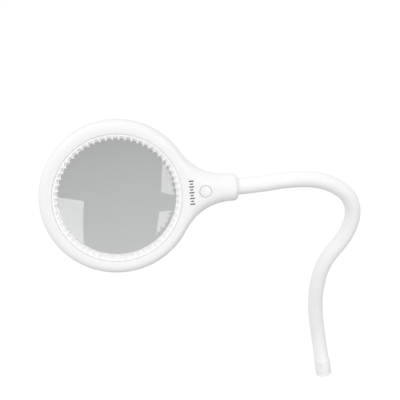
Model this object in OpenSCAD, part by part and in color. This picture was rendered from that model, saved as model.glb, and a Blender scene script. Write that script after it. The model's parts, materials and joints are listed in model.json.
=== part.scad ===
// Magnifying lamp: round lens head with an LED ring, on a gooseneck that stands
// in a threaded ferrule. Millimetres, +Z up along the ferrule, mouth at the origin.
// The gooseneck is nine stretches, each a circular arc, with a hinge between each
// two. The head is drawn in its own frame: x from the ring's centre towards the
// arm, z out of the front, and is then set at the arm's end.

/* [Head] */
// Outer diameter of the ring
ring_d = 133; // [120:1:150]
// Depth of the head from front to back
head_t = 23; // [20:0.5:30]
// Radius of the ring's rounded outer edges
edge_r = 7; // [3:0.5:9]
// Radius of the neck's rounded edges
neck_edge = 11; // [8:0.5:11]
// Wall of the two shells
wall = 2.2; // [1.5:0.1:3]
// Radius of the concave flare between ring and neck
flare_r = 47; // [30:1:60]
// Half the width of the collar
collar_w = 12; // [10:0.5:16]
// Distance from the ring's centre to the collar's end
neck_l = 105; // [100:1:120]
// Diameter of the front opening
seam_d = 110.4; // [105:0.2:116]
// Diameter of the rear opening
rear_d = 104; // [98:0.5:106]

/* [Lens and light] */
// Diameter of the glass
lens_d = 107; // [100:0.5:110]
// Thickness of the glass at its rim
lens_rim = 2.6; // [2:0.1:4]
// Radius of both lens surfaces
lens_r = 330; // [250:5:500]
// Number of LEDs and of flutes in the diffuser
leds_n = 60; // [30:1:72]
// Inner diameter of the diffuser
diffuser_d = 102; // [98:0.5:104]

/* [Button] */
// Distance from the ring's centre to the button
button_x = 75.5; // [70:0.5:85]
// Diameter of the button
button_d = 9.8; // [8:0.2:14]
// Gap round the button
button_gap = 0.3; // [0.2:0.05:0.5]

/* [Arm] */
// Outer diameter of the sleeve
sleeve_d = 14.4; // [12:0.2:18]
// Diameter of the steel tube
core_d = 10.6; // [8:0.2:12]
// Bore of the steel tube
core_bore = 6.8; // [5:0.1:8]
// Diameter of the cable
cable_d = 4; // [3:0.1:5]
// Length of each stretch of the arm
stretch_l = 34.5; // [25:0.5:50]
// Gap between two stretches, for the hinge
hinge_gap = 4; // [3:0.5:6]

/* [Ferrule] */
// Diameter of the ferrule
ferrule_d = 15.8; // [15:0.1:18]
// Length of the ferrule
ferrule_l = 18.5; // [16:0.5:25]
// Minor diameter of the M10 x 1 thread
thread_d = 9; // [8:0.1:10]
// Depth of the thread
thread_l = 10; // [8:0.5:12]
// Height of the grub screw
screw_z = 13.5; // [12:0.5:16]

/* [Hidden] */
$fn = 96;
eps = 0.02; // keeps cut faces apart
loose = 0.05; // clearance of parts that lie on each other
half_t = head_t / 2;
ring_r = ring_d / 2;
seam_r = seam_d / 2;
sleeve_r = sleeve_d / 2;
core_r = core_d / 2;
core_in = core_bore / 2;
cable_r = cable_d / 2;
ferrule_r = ferrule_d / 2;

// Each stretch: how far it bends and in which plane, both in degrees
bends = [
  [13, -95], [8, -45], [13, 0], [28, 5], [30, 178],
  [57, 180], [29, -162], [12, -165], [11, 100]
];
head_turn = -67; // turn of the head about the arm's end
arm_start = 20; // straight part of the arm from the ferrule's mouth up
arm_seat = 12; // where sleeve and tube begin inside the ferrule
bushing_r = 4.2;
last = len(bends) - 1;

// Flare: centre of the concave arc that is tangent to ring and collar
flare_x = sqrt(pow(ring_r + flare_r, 2) - pow(collar_w + flare_r, 2));
flare_y = collar_w + flare_r;
flare_a = atan2(flare_y, flare_x);
collar_corner = 4.6;

// Lens seat, from front to back, as heights in the head's frame
lens_front = 0.5;
lens_back = lens_front - lens_rim;
sag = lens_r - sqrt(lens_r * lens_r - lens_d * lens_d / 4);
gasket_top = lens_back - 0.4;
gasket_t = 1.4;
retainer_top = gasket_top - gasket_t;
retainer_t = 2;
retainer_back = retainer_top - retainer_t;
seat_wall = 2.2; // wall of the tube in the rear shell that carries the retainer

// Diffuser levels
lip_z = half_t - wall; // underside of the front shell
flange_t = 2;
bezel_top = half_t - 0.3;
bezel_at = [49.4, 9.4]; // the bezel's inner edge, which is the crest of the flutes
bezel_edge = 0.7;
foot_top = 2;

// LED board and LEDs
led_board_in = 54.6;
led_board_out = 58;
led_board_z = -1.2;
board_t = 1.6;
led_r = 56.5;
led_size = [2.8, 3.5, 1.4];
resistor_size = [2, 1.2, 0.6];
resistors_n = 20;

// Screws that hold the shells together
boss_r = 2.9;
boss_h = 9;
boss_at = 61.6;
neck_boss = [68, 13];
boss_angles = [60, 120, 180, 240, 300];
screw_r = 1.1;
screw_head_r = 2;
screw_head_t = 1.6;
screw_sink = 1.8;

// Control board
board_x = [63.5, 90.5];
board_w = 15;
board_z = -4;
board_top = board_z + board_t;
switch_size = [7, 7, 4.6];
stem_r = 1.6;
stem_top = 3.4;

// Button
button_r = button_d / 2;
button_top = half_t + 0.2;
button_dome = 0.7;
button_flange = 6.5;
button_travel = 0.8;

// Neck ferrule
nf_x = [91, 101.4];
nf_r = 8.4;
nf_flange_r = 9.2;
nf_flange_x = [94, 96];
nf_screw_x = 98.7;
grub_r = 1.5;
grub_hex = 0.75;

// ---- frames along the arm ----

function shift(v) = [[1, 0, 0, v.x], [0, 1, 0, v.y], [0, 0, 1, v.z], [0, 0, 0, 1]];
function about_z(a) =
  [[cos(a), -sin(a), 0, 0], [sin(a), cos(a), 0, 0], [0, 0, 1, 0], [0, 0, 0, 1]];
function about_y(a) =
  [[cos(a), 0, sin(a), 0], [0, 1, 0, 0], [-sin(a), 0, cos(a), 0], [0, 0, 0, 1]];
function bend_r(b) = stretch_l * 180 / (PI * b);
function over(k) =
  let (b = bends[k][0], g = bends[k][1], r = bend_r(b))
    about_z(g) * shift([r * (1 - cos(b)), 0, r * sin(b)]) * about_y(b) * about_z(-g);
function frame(k) =
  k == 0 ? shift([0, 0, arm_start]) : frame(k - 1) * over(k - 1);
// The head's x is back along the arm, its z is turned about the arm
head_frame = frame(last + 1) * shift([0, 0, neck_l]) *
  [[0, -sin(head_turn), cos(head_turn), 0],
   [0, cos(head_turn), sin(head_turn), 0],
   [-1, 0, 0, 0],
   [0, 0, 0, 1]];

module in_head() {
  multmatrix(head_frame) children();
}

// A round rod or tube along stretch k, held back by half a hinge gap where a
// hinge is, with straight parts at the arm's two ends. Those are a touch thinner,
// so that each can run a little way into its arc.
module along(k, r, bore, seat, reach) {
  b = bends[k][0];
  held = hinge_gap / 2 / bend_r(b) * 180 / PI;
  from = k == 0 ? 0 : held;
  to = k == last ? b : b - held;
  lap = 0.5;
  multmatrix(frame(k) * about_z(bends[k][1]))
    multmatrix([[-1, 0, 0, bend_r(b)], [0, 0, 1, 0], [0, 1, 0, 0], [0, 0, 0, 1]])
      rotate([0, 0, from])
        rotate_extrude(angle = to - from)
          translate([bend_r(b), 0]) section(r, bore);
  if (k == 0)
    translate([0, 0, seat]) linear_extrude(arm_start - seat + lap)
      section(r - loose, bore > 0 ? bore + loose : 0);
  if (k == last)
    multmatrix(frame(last + 1)) translate([0, 0, -lap])
      linear_extrude(neck_l - reach + lap)
        section(r - loose, bore > 0 ? bore + loose : 0);
}

module section(r, bore) {
  difference() {
    circle(r);
    if (bore > 0) circle(bore);
  }
}

// ---- arm ----

module sleeve(k) {
  color("white") difference() {
    along(k, sleeve_r, core_r, arm_seat, nf_x[1] + loose);
    if (k == 0) ferrule_screw_hole(grub_r + eps);
  }
}

module core(k) {
  color("silver") along(k, core_r, core_in, arm_seat, nf_x[0] + 1);
}

module cable(k) {
  color("gainsboro") along(k, cable_r, 0, arm_seat - 1.6, board_x[1] - 0.5);
}

// ---- base end ----

module ferrule_screw_hole(r) {
  translate([0, 0, screw_z]) rotate([0, 90, 244])
    translate([0, 0, core_r + eps]) cylinder(h = ferrule_r, r = r);
}

module ferrule() {
  chamfer = 0.6;
  groove_z = 2.8;
  groove = 0.25;
  thread_r = thread_d / 2;
  color("white") difference() {
    rotate_extrude() polygon([
      [thread_r, 0], [ferrule_r - chamfer, 0], [ferrule_r, chamfer],
      [ferrule_r, groove_z - groove], [ferrule_r - groove, groove_z],
      [ferrule_r, groove_z + groove], [ferrule_r, ferrule_l - chamfer],
      [ferrule_r - chamfer, ferrule_l], [sleeve_r, ferrule_l], [sleeve_r, arm_seat],
      [bushing_r, arm_seat], [bushing_r, thread_l], [thread_r, thread_l]
    ]);
    ferrule_screw_hole(grub_r + eps);
  }
}

module grub(l) {
  difference() {
    cylinder(h = l, r = grub_r);
    translate([0, 0, l - 1]) cylinder(h = 1 + eps, r = grub_hex, $fn = 6);
  }
}

module ferrule_screw() {
  color("dimgray") translate([0, 0, screw_z]) rotate([0, 90, 244])
    translate([0, 0, core_r + loose]) grub(ferrule_r - core_r - 0.4);
}

module cable_bushing() {
  seat = arm_seat - thread_l;
  neck = seat + 2;
  color("black") translate([0, 0, thread_l]) rotate_extrude() polygon([
    [cable_r + loose, 0], [bushing_r, 0], [bushing_r, seat], [core_in, seat],
    [core_in, neck], [cable_r + loose, neck]
  ]);
}

// ---- housing ----

// Half of the head's section, from the axis out to an edge of radius r
module edge_profile(out, r) {
  flat = half_t - r;
  translate([0, -half_t]) square([out - r, head_t]);
  translate([0, -flat]) square([out, 2 * flat]);
  for (s = [-1, 1]) translate([out - r, s * flat]) circle(r);
}

// One flare: a rounder edge swept along the concave arc, a touch inside the ring
// and the collar where it meets them, and a little past the middle
module flare_part() {
  far = ring_r + flare_r;
  past = 1;
  sweep = 90 - flare_a + 6;
  intersection() {
    translate([flare_x, flare_y, 0]) rotate([0, 0, 270 - sweep])
      rotate_extrude(angle = sweep)
        translate([flare_r + loose + far, 0]) mirror([1, 0]) edge_profile(far, neck_edge);
    translate([0, -past, -head_t])
      cube([2 * flare_x, flare_y, 2 * head_t]);
  }
}

// Collar: a bar of the flare's section, turned to a rounded end
module collar_part() {
  flat = half_t - neck_edge;
  flat_w = collar_w - neck_edge;
  back = 6;
  turned_r = collar_w + 0.4; // clear of the bar itself
  corner_at = [turned_r - collar_corner, neck_l - collar_corner];
  intersection() {
    translate([flare_x - back, 0, 0]) rotate([90, 0, 90])
      linear_extrude(neck_l - flare_x + 2 * back) {
        square([2 * flat_w, head_t], center = true);
        square([2 * collar_w, 2 * flat], center = true);
        for (x = [-1, 1], y = [-1, 1])
          translate([x * flat_w, y * flat]) circle(neck_edge);
      }
    rotate([0, 90, 0]) rotate_extrude() {
      square([turned_r, corner_at.y]);
      square([corner_at.x, neck_l]);
      translate(corner_at) circle(collar_corner);
    }
  }
}

module head_solid() {
  rotate_extrude() edge_profile(ring_r, edge_r);
  for (s = [0, 1]) mirror([0, s, 0]) flare_part();
  collar_part();
}

// Plan of the neck, drawn in by the given distance
module neck_plan(inset) {
  steps = 8;
  side = [for (i = [0:steps])
    let (a = 180 + flare_a + (90 - flare_a) * i / steps, r = flare_r + inset)
      [flare_x + r * cos(a), flare_y + r * sin(a)]];
  end = neck_l - wall;
  for (s = [0, 1]) mirror([0, s])
    polygon(concat([[0, -1]], side, [[end, collar_w - inset], [end, -1]]));
}

// Room inside the shells, in steps under the rounded edges
module cavity() {
  flat = half_t - edge_r;
  corner = 0.8; // how far the flat top runs on past the edge's centre
  out = ring_r - wall;
  rotate_extrude() polygon([
    [0, -lip_z], [ring_r - edge_r + corner, -lip_z], [out, -flat], [out, flat],
    [ring_r - edge_r + corner, lip_z], [0, lip_z]
  ]);
  for (step = [[wall, 2], [wall + 1.4, 5], [wall + 4, 7.8], [wall + 6.8, lip_z]])
    linear_extrude(2 * step[1], center = true) neck_plan(step[0]);
  // round room for the neck ferrule
  translate([nf_x[0] - 2, 0, 0]) rotate([0, 90, 0])
    cylinder(h = neck_l - wall - loose - nf_x[0] + 2, r = nf_flange_r + loose);
}

module boss_places() {
  for (a = boss_angles) rotate([0, 0, a]) translate([boss_at, 0, 0]) children();
  for (s = [-1, 1]) translate([neck_boss.x, s * neck_boss.y, 0]) children();
}

module shell(front) {
  difference() {
    intersection() {
      head_solid();
      translate([-2 * ring_r, -2 * ring_r, front ? 0 : -head_t])
        cube([4 * ring_r, 4 * ring_r, head_t]);
    }
    cavity();
  }
}

module arm_hole() {
  translate([neck_l - 2 * wall, 0, 0]) rotate([0, 90, 0])
    cylinder(h = 4 * wall, r = sleeve_r + loose);
}

module front_housing() {
  color("white") in_head() difference() {
    union() {
      shell(true);
      boss_places() cylinder(h = boss_h, r = boss_r);
    }
    translate([0, 0, -head_t]) cylinder(h = 2 * head_t, r = seam_r);
    boss_places() translate([0, 0, -eps]) cylinder(h = 6, r = screw_r);
    translate([button_x, 0, 0]) cylinder(h = head_t, r = button_r + button_gap);
    arm_hole();
  }
}

module rear_housing() {
  rear_r = rear_d / 2;
  color("white") in_head() difference() {
    union() {
      shell(false);
      difference() {
        translate([0, 0, -half_t + 0.5])
          cylinder(h = half_t - 0.5 + retainer_back - loose, r = rear_r + seat_wall);
        translate([0, 0, -head_t]) cylinder(h = 2 * head_t, r = rear_r - 1);
      }
      boss_places() translate([0, 0, -boss_h]) cylinder(h = boss_h, r = boss_r);
      // two posts that carry the control board
      for (x = [71, 86.5]) translate([x, 0, -half_t + 0.5])
        cylinder(h = half_t - 0.5 + board_z, r = 1.8);
    }
    translate([0, 0, -head_t]) cylinder(h = 2 * head_t, r = rear_r);
    boss_places() translate([0, 0, -head_t]) cylinder(h = 2 * head_t, r = screw_r);
    boss_places() translate([0, 0, -head_t])
      cylinder(h = head_t - half_t + screw_sink + screw_head_t, r = screw_head_r + 0.2);
    arm_hole();
  }
}

module housing_screws() {
  seat = -half_t + screw_sink + screw_head_t;
  color("silver") in_head() boss_places() difference() {
    union() {
      translate([0, 0, seat - screw_head_t])
        cylinder(h = screw_head_t, r = screw_head_r);
      translate([0, 0, seat - eps]) cylinder(h = 5 - seat, r = screw_r);
    }
    for (a = [0, 90]) rotate([0, 0, a])
      translate([0, 0, seat - screw_head_t])
        cube([2.4, 0.5, 1.6], center = true);
  }
}

// ---- optics ----

module diffuser_ring() {
  in = diffuser_d / 2;
  out = seam_r - 0.35;
  skirt_r = lens_d / 2 + 0.1; // inside of the skirt round the lens's rim
  flute_r = 1.9;
  flute_lean = 30;
  flute_at = [48.85, 6.75]; // a point on a flute's axis
  color("whitesmoke") in_head() difference() {
    rotate_extrude() polygon([
      [in, 1], [skirt_r, 1], [skirt_r, lens_back], [skirt_r + 0.8, lens_back],
      [skirt_r + 0.8, lip_z - flange_t - loose],
      [in + 6.9, lip_z - flange_t - loose], [in + 6.9, lip_z - loose],
      [out, lip_z - loose], [out, bezel_top], [out - 1.2, bezel_top],
      bezel_at, [bezel_at.x, bezel_at.y - bezel_edge], [in, foot_top]
    ]);
    for (i = [0:leds_n - 1]) rotate([0, 0, (i + 0.5) * 360 / leds_n])
      translate([flute_at.x, 0, flute_at.y]) rotate([0, flute_lean, 0])
        translate([0, 0, -6]) cylinder(h = 14, r = flute_r);
  }
}

module lens() {
  fine = 1440;
  color("lightcyan", 0.5) in_head() rotate_extrude() intersection() {
    translate([0, lens_front + sag - lens_r]) circle(lens_r, $fn = fine);
    translate([0, lens_back - sag + lens_r]) circle(lens_r, $fn = fine);
    translate([0, -half_t]) square([lens_d / 2, head_t]);
  }
}

module lens_gasket() {
  color("gray") in_head() translate([0, 0, gasket_top - gasket_t])
    linear_extrude(gasket_t) section(lens_d / 2 - 0.1, rear_d / 2 - 0.4);
}

module lens_retainer() {
  color("lightgray") in_head() translate([0, 0, retainer_back])
    linear_extrude(retainer_t - loose) section(led_board_in + 1.6, rear_d / 2 - 0.2);
}

// ---- light and control ----

module led_board() {
  color("ivory") in_head() translate([0, 0, led_board_z])
    linear_extrude(board_t) section(led_board_out, led_board_in);
}

module leds() {
  color("yellow") in_head() for (i = [0:leds_n - 1]) rotate([0, 0, i * 360 / leds_n])
    translate([led_r, 0, led_board_z + board_t + led_size.z / 2])
      cube(led_size, center = true);
}

module led_resistors() {
  step = 360 / resistors_n;
  color("black") in_head() for (i = [0:resistors_n - 1])
    rotate([0, 0, (i + 0.5) * step + 90 / leds_n])
      translate([led_r, 0, led_board_z - resistor_size.z / 2])
        cube(resistor_size, center = true);
}

module led_leads() {
  r = 3.3;
  wire = 0.6;
  foot = led_board_z + board_t;
  color("firebrick") in_head() for (y = [-2.5, 2.5])
    translate([board_x[0] + 1.5 - r, y, foot]) {
      rotate([90, 0, 0]) rotate_extrude(angle = 180) translate([r, 0]) circle(wire);
      translate([r, 0, board_top - foot]) cylinder(h = foot - board_top, r = wire);
    }
}

module control_board() {
  color("darkgreen") in_head()
    translate([board_x[0], -board_w / 2, board_z])
      cube([board_x[1] - board_x[0], board_w, board_t]);
}

module driver_coil() {
  color("dimgray") in_head() translate([83.6, 5, board_top]) difference() {
    cylinder(h = 3, r = 2.2);
    translate([0, 0, 2.4]) cylinder(h = 1, r = 0.8);
  }
}

module driver_capacitor() {
  color("steelblue") in_head() translate([83.6, -5, board_top])
    cylinder(h = 4.4, r = 2);
}

module lead_connector() {
  w = 5.2;
  color("white") in_head() difference() {
    translate([83, -w / 2, board_top]) cube([board_x[1] - 83, w, 4.8]);
    translate([board_x[1] - 0.5, 0, 0]) rotate([0, 90, 0])
      cylinder(h = 2, r = cable_r);
  }
}

module tact_switch() {
  color("black") in_head() difference() {
    translate([button_x - switch_size.x / 2, -switch_size.y / 2, board_top])
      cube(switch_size);
    translate([button_x, 0, board_top + 1]) cylinder(h = switch_size.z, r = stem_r + 0.08);
  }
}

module switch_stem() {
  foot = board_top + 1 + button_travel + 0.3;
  color("orange") in_head() translate([button_x, 0, foot])
    cylinder(h = stem_top - foot, r = stem_r);
}

module power_button() {
  // sphere whose cap is the button's dome
  dome_r = (button_r * button_r + button_dome * button_dome) / (2 * button_dome);
  gap = button_travel + 0.2;
  color("white") in_head() translate([button_x, 0, 0]) {
    intersection() {
      translate([0, 0, lip_z - gap]) cylinder(h = head_t, r = button_r);
      translate([0, 0, button_top + button_dome - dome_r]) sphere(dome_r);
    }
    translate([0, 0, lip_z - 1.4 - loose]) cylinder(h = 1.4, r = button_flange);
    translate([0, 0, stem_top]) cylinder(h = lip_z - stem_top - 1, r = 2.2);
  }
}

// ---- end of the arm in the neck ----

module neck_screw_hole(r) {
  translate([nf_screw_x, 0, -core_r - eps]) rotate([180, 0, 0])
    cylinder(h = nf_r, r = r);
}

module neck_ferrule() {
  color("silver") in_head() difference() {
    rotate([0, 90, 0]) rotate_extrude() polygon([
      [core_r, nf_x[0]], [nf_r, nf_x[0]], [nf_r, nf_flange_x[0]],
      [nf_flange_r, nf_flange_x[0]], [nf_flange_r, nf_flange_x[1]],
      [nf_r, nf_flange_x[1]], [nf_r, nf_x[1]], [core_r, nf_x[1]]
    ]);
    neck_screw_hole(grub_r + eps);
  }
}

module neck_screw() {
  color("dimgray") in_head() translate([nf_screw_x, 0, -core_r - loose])
    rotate([180, 0, 0]) grub(nf_r - core_r - 0.4);
}

ferrule();
ferrule_screw();
cable_bushing();
sleeve(0);  // sleeve_0
sleeve(1);  // sleeve_1
sleeve(2);  // sleeve_2
sleeve(3);  // sleeve_3
sleeve(4);  // sleeve_4
sleeve(5);  // sleeve_5
sleeve(6);  // sleeve_6
sleeve(7);  // sleeve_7
sleeve(8);  // sleeve_8
core(0);  // core_0
core(1);  // core_1
core(2);  // core_2
core(3);  // core_3
core(4);  // core_4
core(5);  // core_5
core(6);  // core_6
core(7);  // core_7
core(8);  // core_8
cable(0);  // cable_0
cable(1);  // cable_1
cable(2);  // cable_2
cable(3);  // cable_3
cable(4);  // cable_4
cable(5);  // cable_5
cable(6);  // cable_6
cable(7);  // cable_7
cable(8);  // cable_8
front_housing();
rear_housing();
diffuser_ring();
lens();
lens_gasket();
lens_retainer();
led_board();
leds();
led_resistors();
led_leads();
control_board();
driver_coil();
driver_capacitor();
lead_connector();
tact_switch();
switch_stem();
power_button();
neck_ferrule();
neck_screw();
housing_screws();
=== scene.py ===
import json
import math

import bmesh
import bpy
from mathutils import Matrix, Vector


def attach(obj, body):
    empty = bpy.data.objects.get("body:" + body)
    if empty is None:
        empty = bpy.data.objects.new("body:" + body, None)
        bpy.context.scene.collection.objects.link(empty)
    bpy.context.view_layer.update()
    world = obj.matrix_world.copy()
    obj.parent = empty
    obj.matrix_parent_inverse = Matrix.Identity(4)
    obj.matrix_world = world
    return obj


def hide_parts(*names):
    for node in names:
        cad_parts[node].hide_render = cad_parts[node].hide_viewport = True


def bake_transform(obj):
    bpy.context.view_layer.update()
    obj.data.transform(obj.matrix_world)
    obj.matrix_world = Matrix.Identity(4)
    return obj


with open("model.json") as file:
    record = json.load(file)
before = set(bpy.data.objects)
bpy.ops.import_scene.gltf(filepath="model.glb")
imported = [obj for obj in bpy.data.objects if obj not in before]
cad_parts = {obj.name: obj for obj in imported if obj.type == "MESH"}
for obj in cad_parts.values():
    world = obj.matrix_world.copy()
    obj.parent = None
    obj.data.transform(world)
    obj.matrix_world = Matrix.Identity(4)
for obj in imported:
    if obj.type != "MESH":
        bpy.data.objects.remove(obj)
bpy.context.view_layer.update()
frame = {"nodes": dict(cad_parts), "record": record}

# A magnifying lamp: a ring head with a lens and LEDs, on a bendable arm that stands in a
# threaded ferrule. Points are in millimetres until build() makes them metres.

SCENE = bpy.context.scene
MM = 0.001
WELD = 2e-6  # points closer than this, in metres, become one
JOINT_OFF = 1e-4  # how far a joint may lie from its place here, in metres
BASE = Matrix.Identity(4)  # place of the ferrule and of points already in the frame

# ---- sizes in millimetres, the same as the part's own ----

BENDS = [  # how far each stretch of the arm bends, and in which plane, in degrees
    (13, -95), (8, -45), (13, 0), (28, 5), (30, 178),
    (57, 180), (29, -162), (12, -165), (11, 100),
]
STRETCH = 34.5  # length of arm from one bend's start to the next
ARM_START = 20.0  # where the first bend begins, above the ferrule's mouth
ARM_SEAT = 12.0  # where the arm ends inside the ferrule
HEAD_TURN = -67.0  # turn of the head about the arm's end, in degrees
NECK_L = 105.0  # from the head's middle to the collar's end
RING_R = 66.5  # the head's ring, outside
HALF_T = 11.5  # half of the head's thickness
WALL = 2.2  # thickness of the shells
EDGE_R = 7.0  # rounding of the ring's edge
FLARE_R = 47.0  # hollow curve where the ring runs into the neck
COLLAR_W = 12.0  # half of the neck's width
CORNER_R = 4.6  # rounding of the collar's end
SEAM_R = 55.2  # opening of the front shell
REAR_R = 52.0  # opening of the rear shell
LIP_Z = HALF_T - WALL  # inner side of the shells' flat faces
LENS_R = 53.5  # the lens's own
LENS_CURVE = 330.0  # radius of the lens's two domes
LENS_FRONT, LENS_BACK = 0.5, -2.1  # heights of the lens's rim
LEDS_N = 60
BUTTON_X = 75.5  # from the head's middle
BUTTON_R = 4.9
BUTTON_GAP = 0.3  # between the button and its hole
BUTTON_FLANGE = 6.5  # radius under the housing
SLEEVE_R = 7.2
CORE_R, CORE_IN = 5.3, 3.4  # the gooseneck's steel core, outside and inside
CABLE_R = 2.0
ARM_GAP = 0.06  # between the sleeve and its hole in the collar
FERRULE_R, FERRULE_L = 7.9, 18.5
THREAD_R, THREAD_L = 4.5, 10.0  # the ferrule's thread at its crests, and its length
THREAD_PITCH, THREAD_DEPTH = 1.0, 0.45
SCREW_Z, SCREW_TURN = 13.5, 244.0  # the grub screw's height and its direction in degrees
GRUB_R = 1.5
BOSS_AT, BOSS_R = 61.6, 2.9  # the screw bosses' circle and their own radius
BOSS_BACK, BOSS_FRONT = -9.8, -0.3  # heights of their ends
BOSS_ANGLES = (60, 120, 180, 240, 300)
NECK_BOSS = (68.0, 13.0)  # place of the boss beside the neck, with its mirror image

# ---- places along the arm ----


def turn(degrees, axis):
    return Matrix.Rotation(math.radians(degrees), 4, axis)


def along_stretch(bend, plane, s):
    """The move from the start of a stretch to the point s mm along it."""
    if abs(s) < 1e-9:
        return Matrix.Identity(4)
    part = math.radians(bend) * s / STRETCH
    r = STRETCH / math.radians(bend)
    return (
        turn(plane, "Z")
        @ Matrix.Translation((r * (1 - math.cos(part)), 0, r * math.sin(part)))
        @ Matrix.Rotation(part, 4, "Y")
        @ turn(-plane, "Z")
    )


STATIONS = [Matrix.Translation((0, 0, ARM_START))]
for bend, plane in BENDS:
    STATIONS.append(STATIONS[-1] @ along_stretch(bend, plane, STRETCH))
LAST = len(BENDS) - 1
ARM_L = STRETCH * len(BENDS)
HEAD = (  # from the head's middle, x runs back to the arm and z out of the front
    STATIONS[-1]
    @ Matrix.Translation((0, 0, NECK_L))
    @ turn(HEAD_TURN, "Z")
    @ Matrix(((0, 0, 1, 0), (0, 1, 0, 0), (-1, 0, 0, 0), (0, 0, 0, 1)))
)


def arm_at(s):
    """Place on the arm's centreline s mm after its first bend begins."""
    if s <= 0:
        return STATIONS[0] @ Matrix.Translation((0, 0, s))
    if s >= ARM_L:
        return STATIONS[-1] @ Matrix.Translation((0, 0, s - ARM_L))
    k = min(int(s / STRETCH), LAST)
    return STATIONS[k] @ along_stretch(*BENDS[k], s - k * STRETCH)


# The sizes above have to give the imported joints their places
hinges = [j for j in frame["record"]["behaviour"]["joints"] if j["type"] == "hinge"]
for station, joint in zip(STATIONS[1:], hinges):
    off = (Vector(joint["pos_m"]) - station.translation * MM).length
    if off > JOINT_OFF:
        raise SystemExit(f"{joint['name']} lies {off / MM:.2f} mm from its place on the arm")

# ---- mesh helpers: points are in millimetres ----


def finish_mesh(mesh, sharp):
    """Joins doubled points, turns the faces outward and keeps edges over sharp degrees."""
    bm = bmesh.new()
    bm.from_mesh(mesh)
    bmesh.ops.remove_doubles(bm, verts=bm.verts, dist=WELD)
    bmesh.ops.recalc_face_normals(bm, faces=bm.faces)
    bm.to_mesh(mesh)
    bm.free()
    mesh.shade_smooth()
    mesh.set_sharp_from_angle(angle=math.radians(sharp))


def build(name, verts, faces, material, place=BASE, sharp=35):
    """An object from points in millimetres, moved to its place."""
    mesh = bpy.data.meshes.new(name)
    mesh.from_pydata([(place @ Vector(v)) * MM for v in verts], [], faces)
    finish_mesh(mesh, sharp)
    if material:
        mesh.materials.append(material)
    obj = bpy.data.objects.new(name, mesh)
    SCENE.collection.objects.link(obj)
    return obj


def skin(loops, closed=False):
    """Points and faces of a surface through closed loops of equal length."""
    n, rows = len(loops[0]), len(loops)
    faces = []
    for i in range(rows if closed else rows - 1):
        j = (i + 1) % rows
        for k in range(n):
            m = (k + 1) % n
            faces.append((i * n + k, i * n + m, j * n + m, j * n + k))
    return [p for loop in loops for p in loop], faces


def add(first, *rest):
    """Several (points, faces) as one."""
    verts, faces = list(first[0]), list(first[1])
    for v, f in rest:
        base = len(verts)
        verts += v
        faces += [tuple(base + i for i in face) for face in f]
    return verts, faces


def moved(shape, place):
    """(points, faces) taken to a place."""
    return [tuple(place @ Vector(v)) for v in shape[0]], shape[1]


def circle(r, z, n):
    """A loop of n points round the z axis."""
    angles = [2 * math.pi * k / n for k in range(n)]
    return [(r * math.cos(a), r * math.sin(a), z) for a in angles]


def turned(profile, n=96, closed=True):
    """A profile of (radius, height) turned about z."""
    return skin([circle(r, z, n) for r, z in profile], closed)


def arc(cx, cz, r, start, stop, steps):
    """Points (x, z) on an arc, angles in degrees."""
    angles = [math.radians(start + (stop - start) * i / steps) for i in range(steps + 1)]
    return [(cx + r * math.cos(a), cz + r * math.sin(a)) for a in angles]


def smooth(t):
    """Eases from 0 to 1 as t does."""
    t = min(max(t, 0.0), 1.0)
    return t * t * (3 - 2 * t)


def boolean(obj, shape, operation, place, sharp=35):
    """Cuts shape out of obj, or joins it on."""
    tool = build("tool", *shape, None, place)
    mod = obj.modifiers.new("cut", "BOOLEAN")
    mod.operation = operation
    mod.object = tool
    mod.solver = "EXACT"
    bpy.context.view_layer.update()
    evaluated = obj.evaluated_get(bpy.context.evaluated_depsgraph_get())
    done = bpy.data.meshes.new_from_object(evaluated)
    obj.modifiers.clear()
    old = obj.data
    obj.data = done
    done.name = obj.name
    bpy.data.meshes.remove(old)
    bpy.data.objects.remove(tool)
    finish_mesh(obj.data, sharp)


# ---- materials: texture scales are per metre, and bump distances in metres ----


def set_range(node, from_low, from_high, low, high):
    """Sets what a Map Range node reads and what it gives."""
    node.inputs["From Min"].default_value = from_low
    node.inputs["From Max"].default_value = from_high
    node.inputs["To Min"].default_value = low
    node.inputs["To Max"].default_value = high


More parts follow.
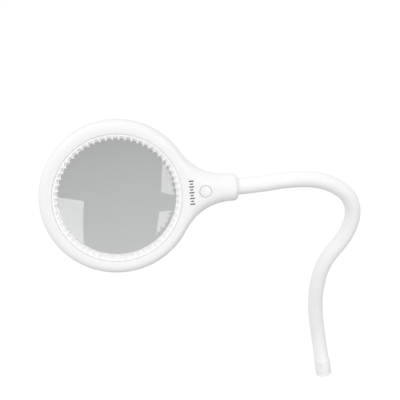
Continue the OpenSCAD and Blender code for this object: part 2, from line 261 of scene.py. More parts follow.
class Nodes:
    """A material's node tree, built line by line."""

    def __init__(self, name):
        self.material = bpy.data.materials.new(name)
        self.material.use_nodes = True
        self.tree = self.material.node_tree
        self.shader = self.tree.nodes["Principled BSDF"]
        self.space = self.tree.nodes.new("ShaderNodeTexCoord").outputs["Object"]

    def add(self, kind, links=(), **values):
        """A new node, with its links and its sockets or settings by name."""
        node = self.tree.nodes.new("ShaderNode" + kind)
        for key, value in values.items():
            if key in node.inputs:
                node.inputs[key].default_value = value
            else:
                setattr(node, key, value)
        for socket, source in dict(links).items():
            self.tree.links.new(source, node.inputs[socket])
        return node

    def noise(self, scale, detail=3.0):
        return self.add("TexNoise", {"Vector": self.space}, Scale=scale, Detail=detail).outputs["Fac"]

    def ramp(self, fac, stops):
        """Colours by fac, from (position, colour) stops."""
        node = self.add("ValToRGB", {"Fac": fac})
        points = node.color_ramp.elements
        while len(points) < len(stops):
            points.new(0.5)
        for point, (at, colour) in zip(points, stops):
            point.position = at
            point.color = (*colour, 1)
        return node.outputs["Color"]

    def spread(self, fac, low, high):
        """A noise's usual range, spread from low to high."""
        node = self.add("MapRange", {"Value": fac})
        set_range(node, 0.3, 0.7, low, high)
        return node.outputs["Result"]

    def mix(self, fac, a, b, blend="MIX"):
        """Colours a and b mixed; each of the three is a value or another node's socket."""
        node = self.add("Mix", data_type="RGBA", blend_type=blend)
        # The sockets that a Mix node uses for colours
        fac_in, a_in, b_in, mixed = node.inputs[0], node.inputs[6], node.inputs[7], node.outputs[2]
        for socket, value in ((fac_in, fac), (a_in, a), (b_in, b)):
            if isinstance(value, bpy.types.NodeSocket):
                self.tree.links.new(value, socket)
            else:
                socket.default_value = value if socket == fac_in else (*value, 1)
        return mixed

    def bump(self, height, distance, strength=1.0, under=None):
        node = self.add("Bump", {"Height": height}, Strength=strength, Distance=distance)
        if under:
            self.tree.links.new(under, node.inputs["Normal"])
        return node.outputs["Normal"]

    def set(self, links=(), **values):
        """Sets the shader's own sockets, by name with _ for a space."""
        for socket, source in dict(links).items():
            self.tree.links.new(source, self.shader.inputs[socket])
        for name, value in values.items():
            self.shader.inputs[name.replace("_", " ")].default_value = value
        return self.material


def shade(colour, by):
    return tuple(min(1.0, c * by) for c in colour)


def moulded(name, colour, rough, grain=900.0, depth=0.00002, cloud=35.0, tint=0.985, **values):
    """Moulded or painted surface: a faint cloud and specks in the colour, a fine grain
    and polish that varies, with crevices a touch darker."""
    m = Nodes(name)
    cloudy = m.ramp(m.noise(cloud, 4.0), [(0.3, shade(colour, tint)), (0.7, colour)])
    specks = m.ramp(m.noise(grain * 0.7, 2.0), [(0.30, (0.965, 0.965, 0.965)), (0.42, (1, 1, 1))])
    body = m.mix(1.0, cloudy, specks, "MULTIPLY")
    hollow = m.add("NewGeometry").outputs["Pointiness"]
    crevices = m.ramp(hollow, [(0.44, (0.93, 0.93, 0.935)), (0.49, (1, 1, 1))])
    body = m.mix(1.0, body, crevices, "MULTIPLY")
    polish = m.spread(m.noise(cloud * 3, 5.0), rough * 0.88, rough * 1.12)
    wave = m.bump(m.noise(cloud * 1.5, 1.0), 0.0001, 0.25)
    normal = m.bump(m.noise(grain, 2.0), depth, 0.35, wave)
    return m.set({"Base Color": body, "Roughness": polish, "Normal": normal}, **values)


def metal(name, colour, rough, scale=600.0):
    """Turned, drawn or plated metal with a fine grain and dull patches."""
    m = Nodes(name)
    grain = m.noise(scale)
    bright = m.ramp(grain, [(0.3, shade(colour, 0.86)), (0.7, colour)])
    dull = m.spread(m.noise(60.0, 4.0), 0.0, 0.35)
    body = m.mix(dull, bright, shade(colour, 0.75))
    polish = m.spread(grain, rough * 0.8, rough * 1.3)
    normal = m.bump(grain, 0.00003, 0.4)
    return m.set({"Base Color": body, "Roughness": polish, "Normal": normal}, Metallic=1.0)


WHITE = (0.88, 0.88, 0.88)
MATERIALS = {
    "white_housing": moulded("white_housing", WHITE, 0.6),
    "white_button": moulded("white_button", shade(WHITE, 0.99), 0.5, grain=1500.0),
    "sleeve_white": moulded("sleeve_white", shade(WHITE, 1.03), 0.65, grain=1200.0, cloud=22.0),
    "ferrule_white": moulded("ferrule_white", shade(WHITE, 0.99), 0.65, grain=1800.0),
    "gooseneck_steel": metal("gooseneck_steel", (0.56, 0.57, 0.59), 0.3),
    "screw_steel": metal("screw_steel", (0.42, 0.43, 0.45), 0.3, scale=2500.0),
    "plated_metal": metal("plated_metal", (0.66, 0.66, 0.64), 0.22, scale=1200.0),
    "black_insulator": moulded("black_insulator", (0.03, 0.03, 0.032), 0.5, tint=0.8),
    "soft_gasket": moulded("soft_gasket", (0.72, 0.72, 0.71), 0.7, tint=0.9, depth=0.00005),
    "retainer_grey": moulded("retainer_grey", (0.55, 0.56, 0.57), 0.45, tint=0.93),
    "cable_grey": moulded("cable_grey", (0.58, 0.58, 0.57), 0.5, tint=0.93),
    "capacitor_blue": moulded("capacitor_blue", (0.05, 0.14, 0.34), 0.3, tint=0.8, Coat_Weight=0.4),
    "connector_ivory": moulded("connector_ivory", (0.76, 0.72, 0.60), 0.45, tint=0.94),
    "stem_orange": moulded("stem_orange", (0.72, 0.22, 0.04), 0.4, tint=0.9),
    "wire_red": moulded("wire_red", (0.55, 0.03, 0.02), 0.35, tint=0.88),
}


def circuit_board(name, colour, trace):
    """Solder mask over copper: straight traces and bright pads."""
    m = Nodes(name)
    bricks = m.add("TexBrick", {"Vector": m.space}, Scale=260.0)
    bricks.inputs["Color1"].default_value = (*colour, 1)
    bricks.inputs["Color2"].default_value = (*shade(colour, 0.9), 1)
    bricks.inputs["Mortar"].default_value = (*trace, 1)
    bricks.inputs["Mortar Size"].default_value = 0.03
    pads = m.add("TexVoronoi", {"Vector": m.space}, Scale=320.0).outputs["Distance"]
    spots = m.ramp(pads, [(0.10, (0.75, 0.72, 0.62)), (0.13, (0, 0, 0))])
    dots = m.ramp(pads, [(0.10, (1, 1, 1)), (0.13, (0, 0, 0))])
    body = m.mix(dots, bricks.outputs["Color"], spots)
    polish = m.spread(m.noise(300.0), 0.28, 0.42)
    normal = m.bump(bricks.outputs["Fac"], 0.00004, 0.5)
    return m.set({"Base Color": body, "Roughness": polish, "Normal": normal})


def led_material():
    """Yellow phosphor in a pale case, with a faint grain."""
    m = Nodes("led_yellow")
    grain = m.noise(3500.0, 2.0)
    body = m.ramp(grain, [(0.35, (0.78, 0.62, 0.12)), (0.65, (0.86, 0.74, 0.24))])
    polish = m.spread(grain, 0.3, 0.5)
    normal = m.bump(grain, 0.00002, 0.5)
    return m.set({"Base Color": body, "Roughness": polish, "Normal": normal})


def coil_material():
    """Enamelled copper turns, dark brown, in fine parallel lines."""
    m = Nodes("coil_dark")
    wave = m.add("TexWave", {"Vector": m.space}, Scale=900.0, bands_direction="Y", Distortion=0.4)
    turns = wave.outputs["Fac"]
    body = m.ramp(turns, [(0.2, (0.05, 0.03, 0.025)), (0.8, (0.24, 0.11, 0.05))])
    return m.set({"Base Color": body, "Normal": m.bump(turns, 0.00006, 0.8)}, Roughness=0.35)


def diffuser_material():
    """Milky plastic that light soaks into a little, with a painted glow: a faint emission that
    brightens it, though it is no lamp.
    """
    m = Nodes("diffuser_white")
    cloudy = m.ramp(m.noise(60.0), [(0.3, (0.77, 0.77, 0.77)), (0.7, (0.80, 0.80, 0.80))])
    polish = m.spread(m.noise(400.0), 0.36, 0.46)
    normal = m.bump(m.noise(1400.0), 0.00001, 0.3)
    return m.set(
        {"Base Color": cloudy, "Roughness": polish, "Normal": normal},
        Subsurface_Weight=0.12,
        Subsurface_Radius=(0.003, 0.003, 0.003),
        Subsurface_Scale=1.0,
        # Painted glow: this emission lightens the diffuser as light would, and it is not a lamp
        Emission_Color=(1.0, 0.99, 0.97, 1.0),
        Emission_Strength=0.15,
    )


def glass_material():
    """Clear optical glass with the faintest wear in its polish."""
    m = Nodes("lens_glass")
    wear = m.ramp(m.noise(900.0, 2.0), [(0.30, (0.955, 0.965, 0.97)), (0.42, (0.975, 0.985, 0.99))])
    polish = m.spread(m.noise(45.0, 4.0), 0.0, 0.012)
    return m.set({"Base Color": wear, "Roughness": polish}, Transmission_Weight=1.0, IOR=1.49)


def ink_material():
    """Printed ink, matt, a little uneven in its cover."""
    m = Nodes("print_ink")
    cover = m.noise(1800.0)
    body = m.ramp(cover, [(0.3, (0.035, 0.035, 0.037)), (0.75, (0.075, 0.075, 0.08))])
    polish = m.spread(cover, 0.45, 0.65)
    normal = m.bump(cover, 0.00001, 0.4)
    return m.set({"Base Color": body, "Roughness": polish, "Normal": normal})


MATERIALS.update(
    board_white=circuit_board("board_white", (0.72, 0.72, 0.68), (0.60, 0.60, 0.55)),
    board_green=circuit_board("board_green", (0.02, 0.16, 0.07), (0.04, 0.26, 0.12)),
    led_yellow=led_material(),
    coil_dark=coil_material(),
    diffuser_white=diffuser_material(),
    lens_glass=glass_material(),
)
INK = ink_material()


def piece(name, shape, slot, place=HEAD, body="head", replaces=(), sharp=35, material=None):
    """A finished piece that rides on a body and stands for CAD nodes."""
    obj = build(name, *shape, material or MATERIALS[slot], place, sharp)
    if body:
        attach(obj, body)
    if replaces:
        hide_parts(*replaces)
    return obj


# ---- the head's outline ----


def outline_half():
    """Half of the head's plan from the collar's end round to the ring's far side,
    as (edge point, point where its rounding ends, height of the upright side)."""
    flare_x = math.sqrt((RING_R + FLARE_R) ** 2 - (COLLAR_W + FLARE_R) ** 2)
    flare_y = COLLAR_W + FLARE_R
    flare_a = math.degrees(math.atan2(flare_y, flare_x))
    wide, low = 11.6, 0.9  # how far the neck's rounding reaches in, and its upright part
    swell = 0.3  # the rounding reaches this much further in on the flare,
    swell_over = 0.25  # growing over this share of it
    turning = 0.4  # share of the flare before the neck's edge turns into the ring's
    crest = COLLAR_W - wide
    ring_low = HALF_T - EDGE_R
    corner = NECK_L - CORNER_R
    face = COLLAR_W - CORNER_R
    face_crest = 0.3  # share of the crest that lies behind the collar's end face
    corner_pull = 0.2  # how far the crest draws back round the collar's corner
    rows = []

    steps = 8  # the collar's end face
    for i in range(steps):
        t = i / steps
        height = max(low, (HALF_T - CORNER_R) * math.sqrt(1 - t ** 2))
        rows.append(((NECK_L, face * t), (corner, face_crest * crest * t), height))
    for i in range(steps + 1):  # its corner
        t = i / steps
        a = math.radians(90 * t)
        edge = (corner + CORNER_R * math.cos(a), face + CORNER_R * math.sin(a))
        inner = (corner - corner_pull * t, crest * (face_crest + (1 - face_crest) * t))
        rows.append((edge, inner, low))
    steps = 3  # the neck's straight side
    for i in range(1, steps):
        x = corner + (flare_x - corner) * i / steps
        rows.append(((x, COLLAR_W), (x, crest), low))
    steps = 40  # the flare
    for i in range(steps + 1):
        t = i / steps
        a = math.radians(270 - (90 - flare_a) * t)
        ease = smooth((t - turning) / (1 - turning))
        r = FLARE_R + wide + swell * smooth(t / swell_over) + (EDGE_R - wide - swell) * ease
        edge = (flare_x + FLARE_R * math.cos(a), flare_y + FLARE_R * math.sin(a))
        inner = (flare_x + r * math.cos(a), flare_y + r * math.sin(a))
        rows.append((edge, inner, low + (ring_low - low) * ease))
    steps = 100  # the ring
    for i in range(1, steps + 1):
        a = math.radians(flare_a + (180 - flare_a) * i / steps)
        edge, inner = ((r * math.cos(a), r * math.sin(a)) for r in (RING_R, RING_R - EDGE_R))
        rows.append((edge, inner, ring_low))
    return rows


HALF = outline_half()
OUTLINE = HALF + [((p[0], -p[1]), (c[0], -c[1]), z) for p, c, z in HALF[-2:0:-1]]

# ---- the shells ----

SMALL = 40  # points round a screw's boss or hole


def edge_loop(inset, side, height=None, share=0.0):
    """A loop drawn in from the outline, at a height or at a share of the upright side."""
    loop = []
    for (px, py), (cx, cy), low in OUTLINE:
        t = inset / math.hypot(cx - px, cy - py)
        z = low * share if height is None else height
        loop.append((px + (cx - px) * t, py + (cy - py) * t, side * z))
    return loop


def rounded_loop(angle, thick, side):
    """A loop on the rounded edge, or thick mm inside it."""
    top = HALF_T - thick
    c, s = math.cos(math.radians(angle)), math.sin(math.radians(angle))
    loop = []
    for (px, py), (cx, cy), low in OUTLINE:
        t = thick / math.hypot(cx - px, cy - py)
        t += (1 - t) * (1 - c)
        loop.append((px + (cx - px) * t, py + (cy - py) * t, side * (low + (top - low) * s)))
    return loop


def radial_loop(r, z, side, share=1.0, top=HALF_T):
    """A loop on the way from the rounding's end to the circle of radius r."""
    loop = []
    for _, (cx, cy), _ in OUTLINE:
        far = math.hypot(cx, cy)
        at = (far + (r - far) * share) / far
        loop.append((cx * at, cy * at, side * (top + (z - top) * share)))
    return loop


def shell_shape(side, mouth, seat):
    """A shell: side is 1 in front and -1 at the back. mouth is the profile from the
    flat face into the opening, and seat goes on from there to the inside."""
    groove, parting = 0.35, 0.02  # the groove along the seam, and half of the gap in it
    loops = [
        edge_loop(groove, side, height=parting),
        edge_loop(0.0, side, height=groove),
        edge_loop(0.0, side, share=0.5),
    ]
    loops += [rounded_loop(90 * i / 12, 0.0, side) for i in range(13)]
    loops += [radial_loop(*mouth[0], side, i / 4) for i in range(1, 4)]
    loops += [radial_loop(r, z, side) for r, z in mouth + seat]
    loops += [radial_loop(seat[-1][0], LIP_Z, side, share, LIP_Z) for share in (0.6, 0.3)]
    loops += [rounded_loop(90 * i / 6, WALL, side) for i in range(6, -1, -1)]
    loops += [edge_loop(WALL, side, share=0.5), edge_loop(WALL, side, height=parting)]
    return skin(loops, closed=True)


def rod(r, low, high, n=96):
    return turned([(0, low), (r, low), (r, high), (0, high)], n)


def at_bosses(shape):
    """The shape once at each screw boss."""
    places = [turn(a, "Z") @ Matrix.Translation((BOSS_AT, 0, 0)) for a in BOSS_ANGLES]
    x, y = NECK_BOSS
    places += [Matrix.Translation((x, y, 0)), Matrix.Translation((x, -y, 0))]
    return add(*[moved(shape, place) for place in places])


def button_hole():
    """What the button's hole takes away, with an eased mouth."""
    r = BUTTON_R + BUTTON_GAP
    low, high = 5, 14
    return turned([
        (0, low), (r, low), (r, HALF_T - 0.25), (r + 0.05, HALF_T - 0.12),
        (r + 0.3, HALF_T + 0.08), (r + 0.3, high), (0, high),
    ])


def screw_hole():
    """What a housing screw takes away: room for its head, then for its shank."""
    head_r, mouth_r, shank_r = 2.2, 2.5, 1.1
    mouth_z, ease_z, head_z = -11.35, -11.1, -8.1
    low, high = -13, 1
    return turned([
        (0, low), (mouth_r, low), (mouth_r, mouth_z), (head_r, ease_z),
        (head_r, head_z), (shank_r, head_z), (shank_r, high), (0, high),
    ], SMALL)


FRONT_MOUTH = [
    (58.9, 11.5), (57.9, 11.48), (57.0, 11.42), (56.2, 11.32), (55.75, 11.2),
    (55.45, 11.03), (55.28, 10.8), (SEAM_R, 10.5),
]
FRONT_SEAT = [(SEAM_R, 9.9), (SEAM_R, LIP_Z)]
REAR_MOUTH = [
    (55.6, 11.5), (55.2, 11.46), (54.8, 11.34), (54.5, 11.15),
    (53.2, 9.75), (52.8, 9.35), (52.3, 9.05), (REAR_R, 8.7),
]
SEAT_END, SEAT_WALL = 5.95, 2.2  # the tube in the rear shell that carries the lens's retainer
REAR_SEAT = [(REAR_R, SEAT_END), (REAR_R + SEAT_WALL, SEAT_END), (REAR_R + SEAT_WALL, LIP_Z)]
ARM_HOLE = HEAD @ Matrix.Translation((NECK_L, 0, 0)) @ turn(90, "Y")
BUTTON_PLACE = HEAD @ Matrix.Translation((BUTTON_X, 0, 0))

arm_cutter = rod(SLEEVE_R + ARM_GAP, -6, 6)  # goes through the wall of the collar's end
front = piece("front_shell", shell_shape(1, FRONT_MOUTH, FRONT_SEAT), "white_housing", body=None)
boolean(front, button_hole(), "DIFFERENCE", BUTTON_PLACE)
boolean(front, arm_cutter, "DIFFERENCE", ARM_HOLE)

rear = piece("rear_shell", shell_shape(-1, REAR_MOUTH, REAR_SEAT), "white_housing", body=None)
boolean(rear, at_bosses(rod(BOSS_R, BOSS_BACK, BOSS_FRONT, SMALL)), "UNION", HEAD)
boolean(rear, at_bosses(screw_hole()), "DIFFERENCE", HEAD)
boolean(rear, arm_cutter, "DIFFERENCE", ARM_HOLE)
for shell, node in ((front, "front_housing"), (rear, "rear_housing")):
    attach(shell, "head")
    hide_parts(node)

# ---- diffuser ring ----


def diffuser_shape():
    """A flat bezel with arched flutes between thin ribs, on a foot that holds the lens."""
    per = 16  # points from one rib to the next
    n = LEDS_N * per
    wide = 0.84  # share of the pitch that a flute takes

    def ring(rib, flute):
        """A loop through (radius, height) on the ribs and in the middle of the flutes."""
        loop = []
        for k in range(n):
            u = abs((k % per) / per * 2 - 1)  # 1 on a rib, 0 in the middle of a flute
            share = math.sqrt(max(0.0, 1 - (u / wide) ** 2))
            a = 2 * math.pi * (k / per) / LEDS_N
            r, z = (p + (q - p) * share for p, q in zip(rib, flute))
            loop.append((r * math.cos(a), r * math.sin(a), z))
        return loop

    bezel = [(54.92, 10.5), (54.89, 10.92), (54.65, 11.12), (54.4, 11.15), (53.9, 11.05)]
    ribs = [
        (53.6, 10.95), (53.0, 10.8), (52.3, 10.55), (51.6, 10.3), (51.0, 10.05), (50.5, 9.8),
        (50.1, 9.5), (49.9, 9.2), (49.85, 8.8), (49.95, 7.8), (50.2, 6.2), (50.6, 4.0),
    ]
    flutes = [
        (53.7, 10.95), (53.5, 10.7), (53.3, 10.25), (53.0, 9.7), (52.7, 9.0), (52.3, 8.2),
        (51.9, 7.3), (51.5, 6.3), (51.2, 5.4), (51.0, 4.6), (50.9, 3.9), (50.85, 3.2),
    ]
    foot = [
        (50.85, 2.1), (50.95, 1.5), (51.1, 1.15), (51.4, 1.02), (53.2, 1.0), (53.6, 0.7),
        (53.6, -1.9), (53.8, -2.1), (54.3, -2.1), (54.4, -2.0), (54.4, 7.1),
    ]
    flange = [(61.8, 7.15), (61.9, 7.3), (61.9, 9.1), (61.8, 9.22), (54.95, 9.22), (54.92, 9.35)]
    loops = [ring(p, q) for p, q in zip(bezel + ribs, bezel + flutes)]
    loops += [ring(p, p) for p in foot + flange]
    return skin(loops, closed=True)


piece("diffuser", diffuser_shape(), "diffuser_white", replaces=("diffuser_ring",), sharp=40)

# ---- lens ----


def lens_shape():
    """Two domes and a rim with eased edges."""
    sag = LENS_CURVE - math.sqrt(LENS_CURVE ** 2 - LENS_R ** 2)
    ease = 0.25
    rings = 40
    out = LENS_R - ease

    def rise(r):
        """How far a dome stands above the rim at radius r."""
        return math.sqrt(LENS_CURVE ** 2 - r * r) - LENS_CURVE + sag

    radii = [out * i / rings for i in range(rings + 1)]
    top = [(r, LENS_FRONT + rise(r)) for r in radii]
    back = [(r, LENS_BACK - rise(r)) for r in reversed(radii)]
    rim = [(LENS_R, LENS_FRONT - ease), (LENS_R, LENS_BACK + ease)]
    return turned(top + rim + back, n=180, closed=False)


piece("lens_glass", lens_shape(), "lens_glass", replaces=("lens",), sharp=25)

# ---- power button ----


def button_shape():
    """A domed cap on a skirt, with a flange under the housing and a stem."""
    cap = HALF_T + 0.2
    edge_r, dome_h, steps = 0.45, 0.62, 10
    flat = BUTTON_R - edge_r
    stem_r, stem_z = 2.2, 3.4
    low, high, ease = 7.85, 9.25, 0.2  # the flange
    skirt = [
        (0, stem_z), (stem_r, stem_z), (stem_r, low), (BUTTON_FLANGE - ease, low),
        (BUTTON_FLANGE, low + ease), (BUTTON_FLANGE, high - ease), (BUTTON_FLANGE - ease, high),
        (BUTTON_R, high),
    ]
    edge = arc(flat, cap - edge_r, edge_r, 0, 90, 5)
    dome = []
    for i in range(1, steps + 1):
        t = 1 - i / steps
        dome.append((flat * t, cap + dome_h * (1 - t ** 2)))
    return turned(skirt + edge + dome, closed=False)


piece("button_cap", button_shape(), "white_button", BUTTON_PLACE, "button", ("power_button",), sharp=40)

# ---- printed mark: a row of plain graduation ticks, as on a rule ----


def box_shape(x0, x1, y0, y1, z0, z1, ease):
    """A low slab with eased top edges."""
    loops = []
    for inset, z in ((0, z0), (0, z1 - ease), (ease, z1)):
        loops.append([(x0 + inset, y0 + inset, z), (x1 - inset, y0 + inset, z),
                      (x1 - inset, y1 - inset, z), (x0 + inset, y1 - inset, z)])
    verts, faces = skin(loops)
    return verts, faces + [(3, 2, 1, 0), (8, 9, 10, 11)]


def tick_shapes():
    """Nine ticks across the neck, longer and shorter by turns."""
    middle, pitch, width = 63.6, 2.5, 1.1
    thick, sunk, ease = 0.04, 0.02, 0.01
    ticks = []
    for i in range(-4, 5):
        reach = 2.1 if i % 2 == 0 else 1.3
        y = i * pitch
        ticks.append(box_shape(middle - reach, middle + reach, y - width / 2, y + width / 2,
                               HALF_T - sunk, HALF_T + thick, ease))
    return add(*ticks)


piece("print_ticks", tick_shapes(), "black_insulator", material=INK)

# ---- ferrule ----


def ferrule_shape():
    """Turned outside with a V groove, a seat for the arm and a cut thread in the mouth."""
    n = 72  # points round it
    foot = [(5.3, 0.0), (7.1, 0.0), (7.5, 0.08), (7.78, 0.3), (FERRULE_R, 0.7)]
    groove = [(FERRULE_R, 2.5), (7.87, 2.58), (7.65, 2.8), (7.87, 3.02), (FERRULE_R, 3.1)]
    side = [(FERRULE_R, 8.0), (FERRULE_R, 13.0), (FERRULE_R, 15.9)]
    cone = [(7.87, 16.3), (7.78, 16.8), (7.4, 18.25), (7.3, FERRULE_L)]
    seat_r, waist_r = SLEEVE_R + 0.03, 4.2
    seat = [(seat_r, FERRULE_L), (seat_r, ARM_SEAT), (waist_r, ARM_SEAT), (waist_r, THREAD_L + 0.1)]
    loops = [circle(r, z, n) for r, z in foot + groove + side + cone + seat]

    rows = 96
    run_out, lead_in = 0.6, 0.8  # where the thread fades, and the chamfer at its mouth
    for i in range(rows + 1):
        z = THREAD_L * (1 - i / rows)
        fade = smooth((THREAD_L - z) / run_out)
        chamfer = max(0.0, lead_in - z)
        loop = []
        for k in range(n):
            phase = (z / THREAD_PITCH - k / n) % 1.0
            cut = THREAD_DEPTH * (1 - abs(2 * phase - 1))
            r = THREAD_R + max(cut * fade, chamfer)
            a = 2 * math.pi * k / n
            loop.append((r * math.cos(a), r * math.sin(a), z))
        loops.append(loop)
    return skin(loops, closed=True)


def grub_hole():
    """What the grub screw's hole takes away, with a countersunk mouth."""
    r, mouth_r = GRUB_R + 0.05, GRUB_R + 0.3
    low, mouth_z, high = 6.6, 7.72, 8.1
    return turned([(0, low), (r, low), (r, mouth_z), (mouth_r, high), (0, high)], SMALL)


FERRULE_SHARP = 32  # degrees between faces that keep their edge
GRUB_PLACE = Matrix.Translation((0, 0, SCREW_Z)) @ turn(SCREW_TURN, "Z") @ turn(90, "Y")
ferrule = piece("ferrule_body", ferrule_shape(), "ferrule_white", BASE, None, sharp=FERRULE_SHARP)
boolean(ferrule, grub_hole(), "DIFFERENCE", GRUB_PLACE, FERRULE_SHARP)
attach(ferrule, "base")
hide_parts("ferrule")

# ---- arm: each piece runs from the middle of one stretch to the middle of the next ----


def tube_shape(start, stop, outer, inner, step, n, ridge, pitch):
    """A tube or, with no inner radius, a rod along the arm. ridge is the depth of a
    helical corrugation in its outside."""
    rows = max(2, math.ceil((stop - start) / step))
    places = [start + (stop - start) * i / rows for i in range(rows + 1)]

    def loop(s, radius, depth):
        at = arm_at(s)
        points = []
        for k in range(n):
            a = 2 * math.pi * k / n
            r = radius - depth * (1 - abs(math.sin(math.pi * (s / pitch - k / n))))
            points.append(tuple(at @ Vector((r * math.cos(a), r * math.sin(a), 0))))
        return points

    loops = [loop(s, outer, ridge) for s in places]
    if inner:
        inner_step = 1.5  # the inside is smooth, so its loops may lie further apart
        every = max(1, int(inner_step / step))
        inside = places[::every] + [places[-1]]
        loops += [loop(s, inner, 0.0) for s in reversed(inside)]
        return skin(loops, closed=True)
    verts, faces = skin(loops)
    ends = [tuple(range(n - 1, -1, -1)), tuple(range(rows * n, rows * n + n))]
    return verts, faces + ends


def arm_layer(name, node, slot, outer, inner, seat, neck_end, step, sides, ridge=0.0, pitch=1.0):
    """One layer of the arm, from its seat in the ferrule to its end inside the neck,
    which is neck_end from the head's middle."""
    for k in range(1, LAST + 1):
        start = seat - ARM_START if k == 1 else (k - 0.5) * STRETCH
        stop = ARM_L + NECK_L - neck_end if k == LAST else (k + 0.5) * STRETCH
        shape = tube_shape(start, stop, outer, inner, step, sides, ridge, pitch)
        nodes = [f"{node}_{k}"] + ([f"{node}_0"] if k == 1 else [])
        obj = piece(f"{name}_{k}", shape, slot, BASE, None, nodes)
        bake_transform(obj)


arm_layer("arm_sleeve", "sleeve", "sleeve_white", outer=SLEEVE_R, inner=CORE_R + 0.1,
          seat=ARM_SEAT + 0.05, neck_end=101.5, step=1.0, sides=64)
arm_layer("gooseneck", "core", "gooseneck_steel", outer=CORE_R, inner=CORE_IN,
          seat=ARM_SEAT + 0.05, neck_end=92.0, step=0.36, sides=36, ridge=0.35, pitch=2.9)
arm_layer("arm_cable", "cable", "cable_grey", outer=CABLE_R, inner=0.0,
          seat=ARM_SEAT - 1.5, neck_end=90.0, step=1.4, sides=24)

# ---- finishes of the CAD nodes that stay ----

PAINTED = {"ferrule_screw": moulded("painted_screw", shade(WHITE, 0.99), 0.5, grain=1800.0)}
for part in frame["record"]["subparts"]:
    obj = frame["nodes"][part["node"]]
    if not obj.hide_render:
        finish = PAINTED.get(part["node"], MATERIALS[part["material_slot"]])
        obj.data.materials.clear()
        obj.data.materials.append(finish)

# ---- camera ----

PITCH = math.radians(15.42)  # how far the camera looks down
ROLL = math.radians(-10.45)  # and how far it leans to one side
CAMERA_AT = Matrix.Translation((-0.094, -0.7417, 0.4127))
ahead = Vector((0, math.cos(PITCH), -math.sin(PITCH)))
level = Vector((1, 0, 0))
above = Vector((0, math.sin(PITCH), math.cos(PITCH)))
right = math.cos(ROLL) * level + math.sin(ROLL) * above
up = -math.sin(ROLL) * level + math.cos(ROLL) * above

cam_data = bpy.data.cameras.new("camera")
cam_data.sensor_width = 36.0
cam_data.lens = 71.28
cam_data.clip_start = 0.01
cam_data.clip_end = 100.0
camera = bpy.data.objects.new("camera", cam_data)
camera.matrix_world = CAMERA_AT @ Matrix((right, up, -ahead)).transposed().to_4x4()
SCENE.collection.objects.link(camera)
SCENE.camera = camera

# ---- stage ----


def seen_only_by(obj, ray):
    """Hides obj from every kind of ray but one."""
    for kind in ("camera", "diffuse", "glossy", "transmission", "shadow"):
        setattr(obj, "visible_" + kind, kind == ray)


def emission(name, strength, fade=()):
    """White light of an even strength, or one that fades with height: fade is two
    heights in metres and the strengths there."""
    material = bpy.data.materials.new(name)
    material.use_nodes = True
    tree = material.node_tree
    tree.nodes.clear()
    out = tree.nodes.new("ShaderNodeOutputMaterial")
    shader = tree.nodes.new("ShaderNodeEmission")
    shader.inputs["Color"].default_value = (1, 1, 1, 1)
    shader.inputs["Strength"].default_value = strength
    if fade:
        place = tree.nodes.new("ShaderNodeTexCoord")
        split = tree.nodes.new("ShaderNodeSeparateXYZ")
        fading = tree.nodes.new("ShaderNodeMapRange")
        set_range(fading, *fade)
        tree.links.new(place.outputs["Object"], split.inputs[0])
        tree.links.new(split.outputs["Z"], fading.inputs["Value"])
        tree.links.new(fading.outputs["Result"], shader.inputs["Strength"])
    tree.links.new(shader.outputs[0], out.inputs[0])
    return material


def one_sided(material):
    """Makes a surface clear where it is seen from its faces' front."""
    tree = material.node_tree
    out = next(n for n in tree.nodes if n.type == "OUTPUT_MATERIAL")
    facing = tree.nodes.new("ShaderNodeNewGeometry")
    clear = tree.nodes.new("ShaderNodeBsdfTransparent")
    pick = tree.nodes.new("ShaderNodeMixShader")
    tree.links.new(facing.outputs["Backfacing"], pick.inputs[0])
    tree.links.new(clear.outputs[0], pick.inputs[1])
    tree.links.new(out.inputs[0].links[0].from_socket, pick.inputs[2])
    tree.links.new(pick.outputs[0], out.inputs[0])
    return material


def studio_bowl():
    """A pale floor that curves up into a backdrop all round."""
    floor_z, flat, lift, high = -30.0, 3000.0, 2500.0, 9000.0
    curve = arc(flat, floor_z + lift, lift, -90, 0, 16)
    return turned([(0.0, floor_z)] + curve + [(flat + lift, high)], closed=False)


def card(name, corners, strength, sees, fade=()):
    """A soft light panel that the lens mirrors, placed by its corners' directions from
    the lens: degrees to the right of straight ahead, and above the horizon. sees is
    "glossy" for the lens's front surface and "transmission" for its back one."""
    distance = 6000
    points = []
    for az, el in corners:
        a, e = math.radians(az), math.radians(el)
        toward = Vector((math.sin(a) * math.cos(e), -math.cos(a) * math.cos(e), math.sin(e)))
        points.append(tuple(HEAD.translation + toward * distance))
    panel = build(name, points, [(0, 1, 2, 3)], emission(name, strength, fade))
    seen_only_by(panel, sees)


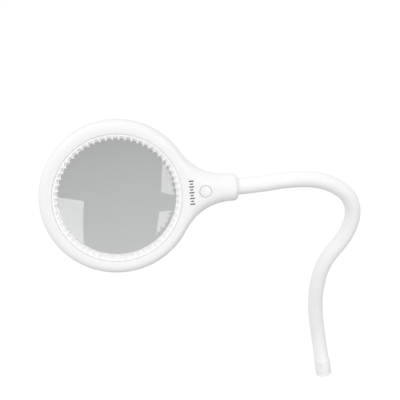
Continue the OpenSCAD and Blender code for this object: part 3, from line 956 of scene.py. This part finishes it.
# The bowl's faces point outward and it only shows from inside, so it hides nothing from below
floor = build("floor", *studio_bowl(), one_sided(emission("pale_floor", 1.02)))
seen_only_by(floor, "camera")
card("card_right", [(18.9, -9.9), (26.6, 20), (60, 20), (45, -19.5)], 6.0, "glossy")
card("card_low", [(17.1, -16.9), (8.4, -40), (45, -40), (45, -19.4)], 6.2, "glossy")
card("card_left", [(19.9, -9), (31, 30), (60, 30), (60, -20.4)], 7.5, "transmission")
card("card_edge", [(19.9, -9), (20.7, -5.2), (60, -15), (60, -20.4)], 9.5, "transmission")
# The grey that the lens shows comes from a card behind the lamp, darker low down
card("card_behind", [(150, -35), (150, 10), (210, 10), (210, -35)], 0.5, "transmission",
     fade=(-3, 1, 0.085, 0.79))

# ---- light ----


def studio_light():
    """Soft light from all round, brightest from above and in front, with some more
    from low down behind."""
    brightest = Vector((-0.15, -0.6, 0.78)).normalized()
    low_light, high_light, rear_light = 0.12, 1.48, 0.95
    world = bpy.data.worlds.new("studio")
    world.use_nodes = True
    tree = world.node_tree
    tree.nodes.clear()
    direction = tree.nodes.new("ShaderNodeTexCoord").outputs["Generated"]

    def node(kind, *sources, operation=None):
        """A node whose first sockets are linked to sources."""
        new = tree.nodes.new("ShaderNode" + kind)
        if operation:
            new.operation = operation
        for socket, source in zip(new.inputs, sources):
            tree.links.new(source, socket)
        return new

    def ranged(source, start, stop, low, high):
        """Goes from low to high as source goes from start to stop."""
        new = node("MapRange", source)
        set_range(new, start, stop, low, high)
        return new.outputs["Result"]

    toward = node("VectorMath", direction, operation="DOT_PRODUCT")
    toward.inputs[1].default_value = brightest
    way = node("SeparateXYZ", direction)
    room = ranged(toward.outputs["Value"], -1, 0.6, low_light, high_light)
    behind = ranged(way.outputs["Y"], 0.4, 0.9, 0, rear_light)
    low_down = ranged(way.outputs["Z"], -0.2, 0.3, 1, 0)
    rear = node("Math", behind, low_down, operation="MULTIPLY")
    both = node("Math", room, rear.outputs[0], operation="ADD")
    background = node("Background")
    tree.links.new(both.outputs[0], background.inputs["Strength"])
    node("OutputWorld", background.outputs[0])
    return world


SCENE.world = studio_light()
SCENE.view_settings.view_transform = "Standard"
